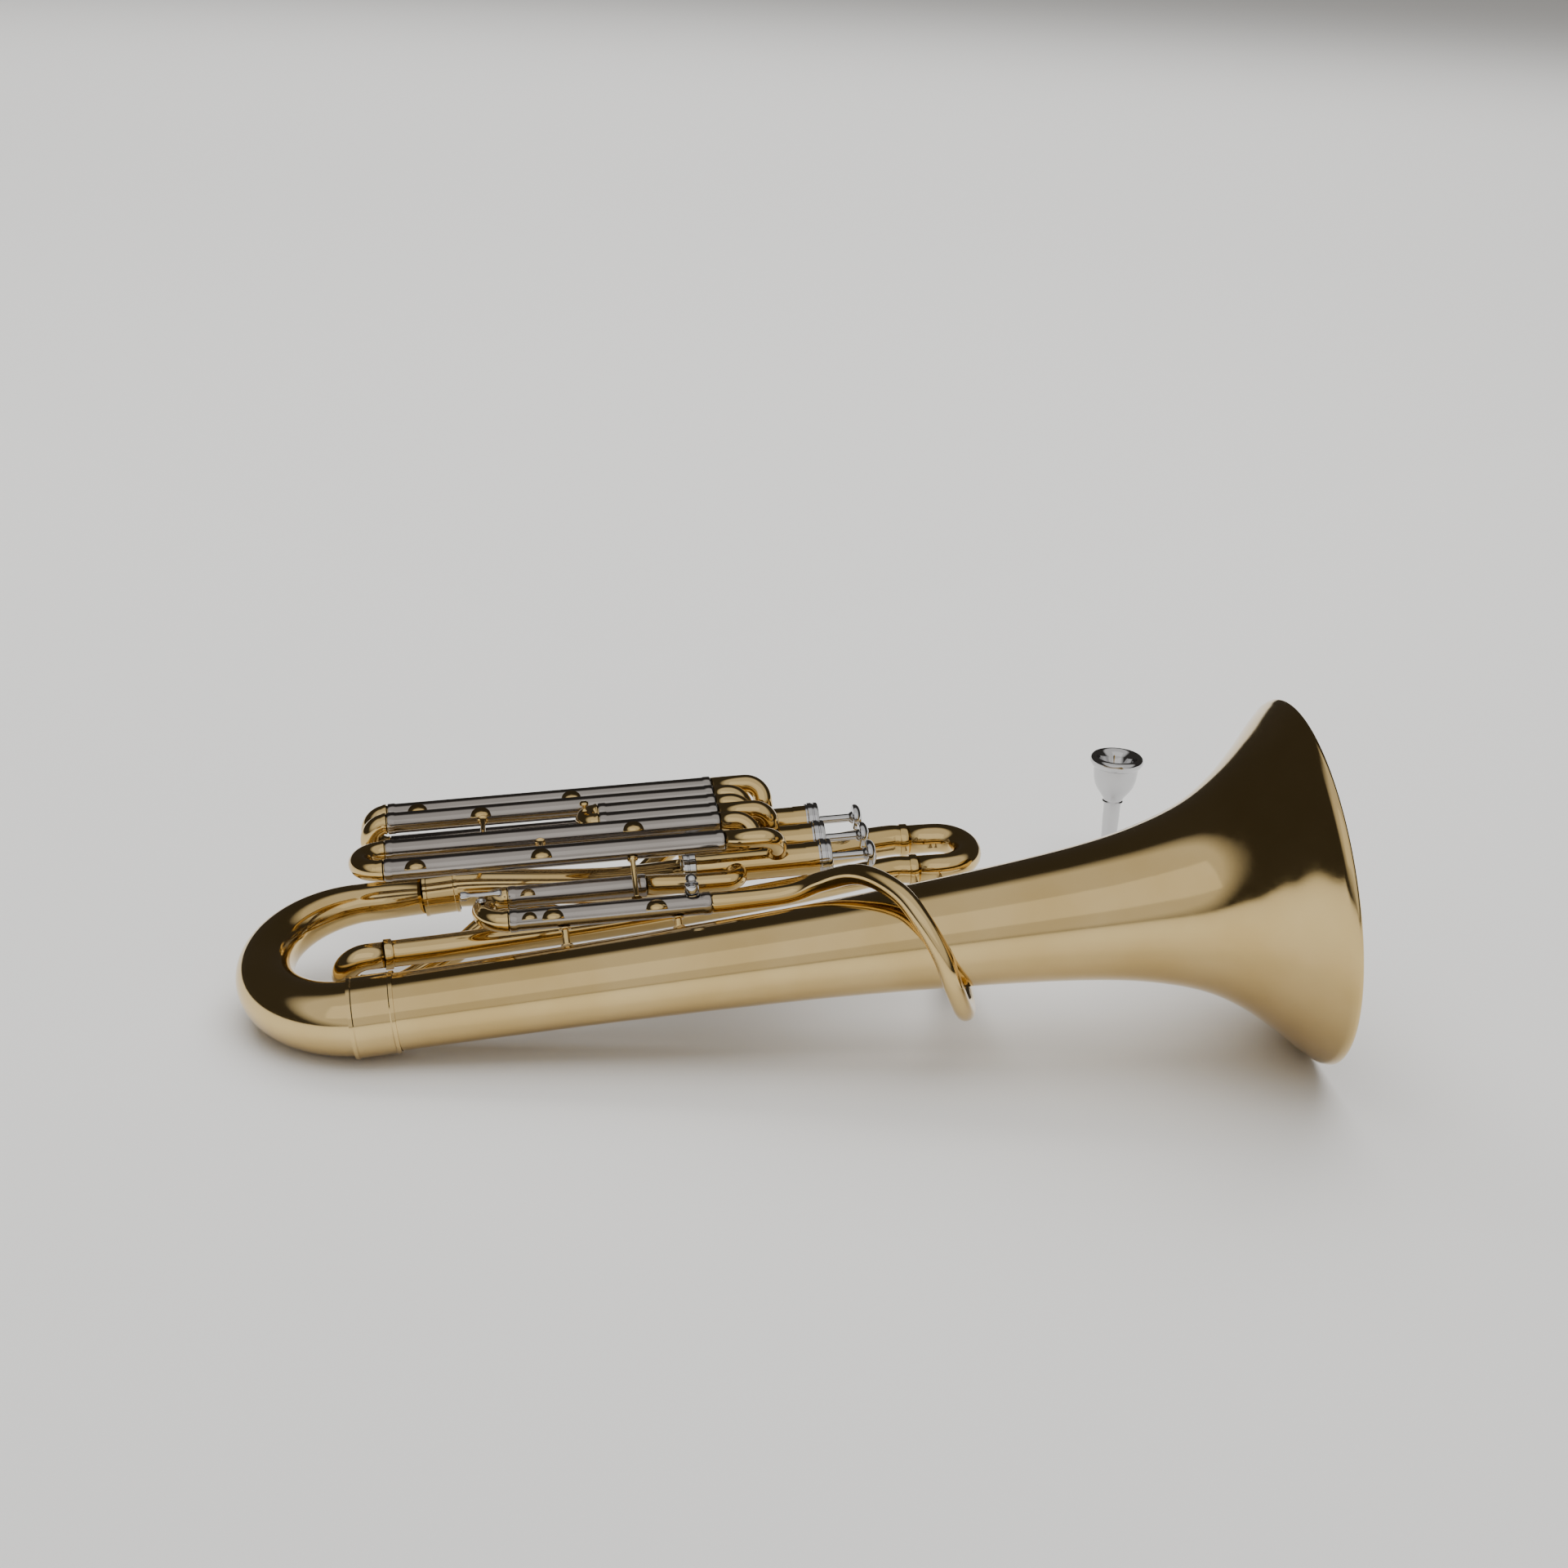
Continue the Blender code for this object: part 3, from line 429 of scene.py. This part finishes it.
columns = [sideways for pair in legs for sideways, port in pair]
sleeve_names = ("first_slide_sleeve_near", "first_slide_sleeve_far", "second_slide_sleeve_near",
                "second_slide_sleeve_far", "third_slide_sleeve_near", "third_slide_sleeve_far")
left_ends = [sleeve_left] * 2 + [short_left] * 2 + [sleeve_left] * 2
for name, sideways, left_end in zip(sleeve_names, columns, left_ends):
    sleeve(name, left_end, sleeve_right, sideways, slide_plane)
return_drop, return_right = 22.0, -95.0
turn_x = return_right - tube_pitch / 2 - sleeve_radius
low_near = Vector((sleeve_left, columns[4], slide_plane - return_drop))
low_far = Vector((sleeve_left, columns[5], slide_plane - return_drop))
curve = arc(Vector((turn_x, low_near.y, low_near.z)), along, Vector((0, 1, 0)), tube_pitch / 2, math.pi, 24)
keep(swept([low_near] + curve + [low_far], sleeve_radius - 0.1, block_frame), "third_loop_return", nickel,
     wall=sleeve_wall)


# Slides: a brass crook with a rolled collar on each leg, and two thin inner legs that stay in the
# sleeves. Each pulls out towards the bottom bow.
leg_radius, leg_wall = 5.7, 0.5


def slide(name, body, first, second, reach):
    step = 0.6
    radius = sleeve_radius - 0.15
    middle = min(first.x, second.x) - gap - step
    start = Vector((middle, first.y, first.z))
    span = second - first
    span.x = 0
    curve = arc(start, -along, span.normalized(), span.length / 2, math.pi, 32)
    curve_radii = [radius - (0.35 if 1 < i < len(curve) - 2 else 0) for i in range(len(curve))]
    route = [first + along * reach, first - along * gap, first - along * (gap + step)] + curve
    route += [second - along * (gap + step), second - along * gap, second + along * reach]
    radii = [leg_radius, leg_radius, radius] + curve_radii + [radius, leg_radius, leg_radius]
    route, radii = zip(*[(p, r) for i, (p, r) in enumerate(zip(route, radii))
                         if i == 0 or (Vector(p) - Vector(route[i - 1])).length > 0.01])
    return keep(swept(route, list(radii), block_frame), name, brass, body, wall=leg_wall)


ends = [Vector((left_end, sideways, slide_plane)) for sideways, left_end in zip(columns, left_ends)]
slide("first_valve_slide", "first_slide", ends[0], ends[1], 95.0)
slide("second_valve_slide", "second_slide", ends[2], ends[3], 47.5)
slide("third_valve_slide_near", "third_slide_near", ends[4], low_near, 95.0)
slide("third_valve_slide_far", "third_slide_far", ends[5], low_far, 95.0)


# Main tuning slide: between the leadpipe and the first valve, held between two nickel sleeves. The
# return pipe goes on from its far sleeve into the first casing.
near, far = Vector((-172.0, -53.0, 0.0)), Vector((-172.0, -23.0, 2.0))
near_right, far_right = -51.0, -88.0
sleeve("tuning_sleeve_near", near.x, near_right, near.y, near.z)
sleeve("tuning_sleeve_far", far.x, far_right, far.y, far.z)
slide("main_tuning_slide", "tuning_slide", near, far, 62.0)
inlet = Vector((inlet_port, -casing_radius - 2 * gap, 0))
start = Vector((far_right + gap, far.y, far.z))
bend_radius = inlet.y - start.y - 4
corner = Vector((inlet.x - bend_radius, start.y, 0))
ease = [start + (corner - Vector((8, 0, 0)) - start) * t + Vector((0, 0, 2 * (t - t * t * (3 - 2 * t))))
        for t in (0, 0.2, 0.4, 0.6, 0.8)]
keep(swept(ease + arc(corner, along, Vector((0, 1, 0)), bend_radius) + [inlet], elbow_radius, block_frame),
     "tuning_return", brass, wall=tube_wall)


# Water key: a plated lever in a saddle on the tuning slide's crook, sprung shut over its drain hole.
middle = (near + far) / 2
top = sleeve_radius - 0.1
hinge = Vector((near.x - gap - 1.6 - (far - near).length / 2 + 0.6, middle.y, middle.z + top + 4.2))
lever = [(0, 13), (1.2, 12.9), (1.9, 12.3), (2.3, 11.2), (1.9, 9.6), (1.4, 8), (1.3, 2), (1.4, -6),
         (2.2, -7.6), (2.9, -9), (2.9, -11.6), (2.5, -12), (0, -12)]
keep(spun(lever, placed(block_frame, hinge, (1, 0, 0)), 40, ring=False), "water_key", plate, "water_key")
rest = middle.z + top + gap
height = hinge.z - 1.4 - 0.6 - rest
saddle = [(0, height), (1.3, height), (1.5, height - 0.2), (1.9, 0.9), (3.2, 0.4), (3.2, 0), (0, 0)]
keep(spun(saddle, placed(block_frame, (hinge.x, hinge.y, rest)), 40, ring=False), "water_key_saddle", plate,
     "tuning_slide")


# Braces: turned brass posts with a foot soldered to each of the two tubes that they hold apart.
def brace(name, start, end, radius, base_frame):
    start, end = Vector(start), Vector(end)
    half = (end - start).length / 2
    foot = min(1.2, half / 3)
    shape = [(0, half), (radius * 1.7, half), (radius * 1.7, half - foot / 2), (radius * 1.1, half - foot),
             (radius * 0.85, half - foot * 1.6), (radius * 0.85, foot * 1.6 - half),
             (radius * 1.1, foot - half), (radius * 1.7, foot / 2 - half), (radius * 1.7, -half),
             (0, -half)]
    keep(spun(shape, placed(base_frame, (start + end) / 2, end - start), 40, ring=False), name, brass)


def tube_brace(name, x, first, second):
    first, second = Vector((x, *first)), Vector((x, *second))
    way = (second - first).normalized()
    brace(name, first + way * (sleeve_radius + 2 * gap), second - way * (sleeve_radius + 2 * gap), 1.9,
          block_frame)


tube_brace("tuning_brace", -95.0, (near.y, near.z), (-tube_pitch, slide_plane))
tube_brace("first_slide_brace", -150.0, (-tube_pitch, slide_plane), (tube_pitch, slide_plane))
tube_brace("slide_bank_brace", -185.0, (tube_pitch, slide_plane), (4 * tube_pitch, slide_plane))
for number in (1, 2):
    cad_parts[f"bell_brace_{number}"].data.materials[0] = brass


# Brace feet: thin half-round plates sweated on where a brace or a knob meets a tube. They are cut
# from sheet brass and rolled to the tube.
def brace_foot(name, where, outer, x, facing, size=6.5):
    """A half disc wrapped on a tube along where's X axis. facing is its angle up from the tube's side."""
    bm = bmesh.new()
    bmesh.ops.create_circle(bm, cap_ends=True, segments=40, radius=size * MM)
    bmesh.ops.bisect_plane(bm, geom=bm.verts[:] + bm.edges[:] + bm.faces[:], plane_co=(0, 0, 0),
                           plane_no=(0, -1, 0), clear_outer=True)
    for cut in range(1, 12):
        bmesh.ops.bisect_plane(bm, geom=bm.verts[:] + bm.edges[:] + bm.faces[:],
                               plane_co=(0, cut * size / 12 * MM, 0), plane_no=(0, 1, 0))
    for vert in bm.verts:
        angle = facing + vert.co.y / (outer * MM)
        vert.co = Vector((x * MM + vert.co.x, -math.cos(angle) * outer * MM, math.sin(angle) * outer * MM))
    bmesh.ops.recalc_face_normals(bm, faces=bm.faces)
    bm.normal_update()
    bm.faces.ensure_lookup_table()
    middle = bm.faces[0].calc_center_median()
    if bm.faces[0].normal.dot(Vector((0, middle.y, middle.z))) < 0:
        bmesh.ops.reverse_faces(bm, faces=bm.faces)
    bmesh.ops.transform(bm, matrix=where, verts=bm.verts)
    shell = keep(bm, name, brass, trim=True).modifiers.new("sheet", "SOLIDIFY")
    shell.thickness = 0.5 * MM
    shell.offset = 1


def tube_frame(sideways, height):
    return block_frame @ Matrix.Translation(Vector((0, sideways, height)) * MM)


outside = sleeve_radius - 0.3
foot_places = [(columns[0], slide_plane, -226.0), (columns[0], slide_plane, -150.0),
               (columns[1], slide_plane, -92.0), (columns[4], slide_plane, -186.0),
               (columns[5], slide_plane, -226.0), (columns[5], slide_plane, -128.0),
               (near.y, near.z, -146.0), (near.y, near.z, -84.0)]
for count, (column, height, x) in enumerate(foot_places, 1):
    brace_foot(f"brace_foot_{count}", tube_frame(column, height), outside, x, math.radians(14))
for count, (column, height) in enumerate(((near.y, near.z), (far.y, far.z)), 1):
    brace_foot(f"water_key_foot_{count}", tube_frame(column, height), outside, near.x + 12,
               math.radians(24), 4.5)


# Lyre holder: a plated socket on the tuning sleeve with a round-headed thumb screw that clamps the
# lyre's square stem.
post_foot = sleeve_radius + 0.1
holder = [(0, 13.0), (1.6, 12.8), (3.1, 11.8), (3.7, 10.2), (3.1, 8.6), (1.7, 7.6), (1.5, 7.0), (4.2, 6.8),
          (4.5, 6.2), (4.5, 2.2), (4.2, 1.6), (2.6, 1.3), (2.6, 0.9), (4.6, 0.6), (4.6, 0), (0, 0)]
keep(spun(holder, placed(tube_frame(near.y, near.z), (-62.0, 0, post_foot), (0, 0, 1)), 48, ring=False),
     "lyre_holder", plate, trim=True)


# Second slide's pull knob: a turned button on the back of its crook, for the fingertips.
knob = [(0, 6.0), (1.8, 5.9), (2.7, 5.3), (3.0, 4.5), (2.7, 3.6), (1.5, 3.0), (1.2, 2.0), (1.5, 0.8),
        (2.4, 0), (0, 0)]
knob_place = Vector((short_left - gap - 1.2 - tube_pitch / 2 + 0.2, (columns[2] + columns[3]) / 2,
                     slide_plane + sleeve_radius - 0.3))
keep(spun(knob, placed(block_frame, knob_place, (0, 0, 1)), 40, ring=False), "second_slide_knob", brass,
     "second_slide", trim=True)


# Solder rings: where one branch is let into the next, a narrow brass ring covers the joint.
def joint_ring(name, place, aim, radius, width=5.0):
    ring_shape = [(radius + 0.9, width / 2), (radius + 1.15, width / 2 - 0.5),
                  (radius + 1.15, 0.5 - width / 2), (radius + 0.9, -width / 2), (radius + 0.1, -width / 2),
                  (radius + 0.1, width / 2)]
    keep(spun(ring_shape, placed(horn_frame, place, aim), 56), name, brass, trim=True)


# Branches: tapered tubes that widen from the valves to the bottom bow, each let into the next by a
# ring. They are partly under the slides.
far_leg, near_leg = Vector((-214.0, 158.0, 76.0)), Vector((-214.0, 118.0, 72.0))
rightwards = Vector((1, 0, 0.06)).normalized()
sideways = (near_leg - far_leg).normalized()
to_horn = horn_frame.inverted() @ bell_frame
branch_start = to_horn @ ((bow_end + Vector((gap, 0, 0))) * MM) / MM
heading = (to_horn.to_3x3() @ along).normalized()
route = smooth_route((branch_start, branch_start + heading * 20, (-400, 124, 63), (-300, 143, 70),
                      far_leg - rightwards * 16, far_leg))
keep(swept(route, between((bow_end_radius, 9.7), len(route)), horn_frame, 40), "third_branch", brass,
     wall=tube_wall)
curve = arc(far_leg + rightwards * 19, rightwards, sideways, (near_leg - far_leg).length / 2, math.pi, 32)
route = [far_leg + rightwards * gap] + curve + [near_leg + rightwards * gap]
keep(swept(route, between((9.7, 8.9), len(route)), horn_frame, 40), "top_bow", brass, wall=tube_wall)
upper, lower = Vector((-548.0, 42.0, 55.0)), Vector((-548.0, 54.0, 29.0))
route = smooth_route((near_leg, near_leg - rightwards * 20, (-300, 96, 67), (-400, 70, 61.5),
                      (-500, 49, 57.3), upper))
keep(swept(route, between((8.9, 8.2), len(route)), horn_frame, 40), "second_branch", brass, wall=tube_wall)
joint_ring("far_leg_ring", far_leg, rightwards, 9.7)
joint_ring("near_leg_ring", near_leg, rightwards, 8.9)
leftwards = (upper - Vector((-500, 49, 57.3))).normalized()
joint_ring("small_bow_ring", upper, leftwards, 8.2)
downwards = lower - upper
downwards = (downwards - leftwards * downwards.dot(leftwards)).normalized()
curve = arc(upper + leftwards * 12, leftwards, downwards, (lower - upper).length / 2, math.pi, 32)
lower_end = curve[-1] - leftwards * 12
keep(swept([upper + leftwards * gap] + curve + [lower_end], 8.0, horn_frame, 40), "small_bow", brass,
     wall=tube_wall)
to_horn = horn_frame.inverted() @ block_frame
outlet = to_horn @ (Vector((inlet_port, 4 * tube_pitch + casing_radius + 2 * gap, 0)) * MM) / MM
start = lower_end - leftwards * gap
route = smooth_route((start, start - leftwards * 10, (-508, 72, 42), (-482, 86, 57), (-452, 100, 53),
                      (-425, 124, 38), (-398, 148, 47), (-372, 164, 66), (-350, 168, 83),
                      outlet + Vector((0, 9, 0)), outlet))
keep(swept(route, between((7.8, elbow_radius), len(route)), horn_frame), "first_branch", brass,
     wall=tube_wall)


# Leadpipe and receiver: the narrowest tube, from the mouthpiece round the bell to the tuning slide.
start = to_horn @ ((Vector((near_right + gap, near.y, near.z))) * MM) / MM
ahead = (to_horn.to_3x3() @ along).normalized()
receiver_start, receiver_end = Vector((-194.0, 50.0, 28.0)), Vector((-190.0, 112.0, 11.25))
away = (receiver_end - receiver_start).normalized()
route = smooth_route((start, start + ahead * 14, (-308, 29, 96), (-288, 22, 107), (-268, 3, 119.5),
                      (-249, -18, 117), (-236, -33, 104), (-225, -42, 86), (-217, -43.5, 66),
                      (-208, -33, 46), (-201, -10, 35.5), (-197, 18, 32.5), receiver_start - away * 8,
                      receiver_start - away * gap))
keep(swept(route, between((6.6, 5.2), len(route)), horn_frame), "leadpipe", brass, wall=tube_wall)
length = (receiver_end - receiver_start).length
receiver = [(8.0, length), (8.0, length - 6.4), (7.5, length - 7), (7.5, length - 7.8), (6.8, length - 9),
            (6.0, 0), (4.2, 0), (5.6, length)]
keep(spun(receiver, placed(horn_frame, receiver_start, away), 48), "mouthpiece_receiver", nickel)


# Mouthpiece: turned from bar and plated, with a rounded rim, a deep cup and a tapered shank. It
# stands on the end of its shank beside the bell.
tall, rim, throat, shank = 82.0, 19.3, 1.9, 4.9
corner_arc = [(rim - 2.9 + 2.9 * math.sin(a), tall - 3.4 + 3.4 * math.cos(a)) for a in
              (math.pi * (-0.1 + 0.1 * i) for i in range(0, 8))]
mouthpiece = corner_arc + [(rim - 1.6, tall - 7.0), (rim - 3.2, tall - 8.0), (rim - 3.4, tall - 12),
                           (rim - 3.9, tall - 17), (rim - 5.2, tall - 22), (rim - 7.4, tall - 26),
                           (rim - 9.6, tall - 29), (7.2, tall - 32.5), (7.0, tall - 33.6),
                           (7.6, tall - 34.6), (7.0, tall - 35.6), (6.2, tall - 37), (6.0, tall - 44),
                           (6.1, tall - 46), (shank, 0.4), (shank - 0.2, 0), (shank - 1, 0),
                           (throat + 1, tall - 46), (throat, tall - 27), (2.4, tall - 24.5),
                           (4.6, tall - 21), (7.4, tall - 16.5), (9.4, tall - 12), (11.2, tall - 8),
                           (12.2, tall - 5), (12.9, tall - 3), (rim - 4.9, tall - 1.2)]
keep(spun(mouthpiece, placed(floor_frame, (-36.0, 292.0, 0)), 96), "mouthpiece", plate, "mouthpiece")
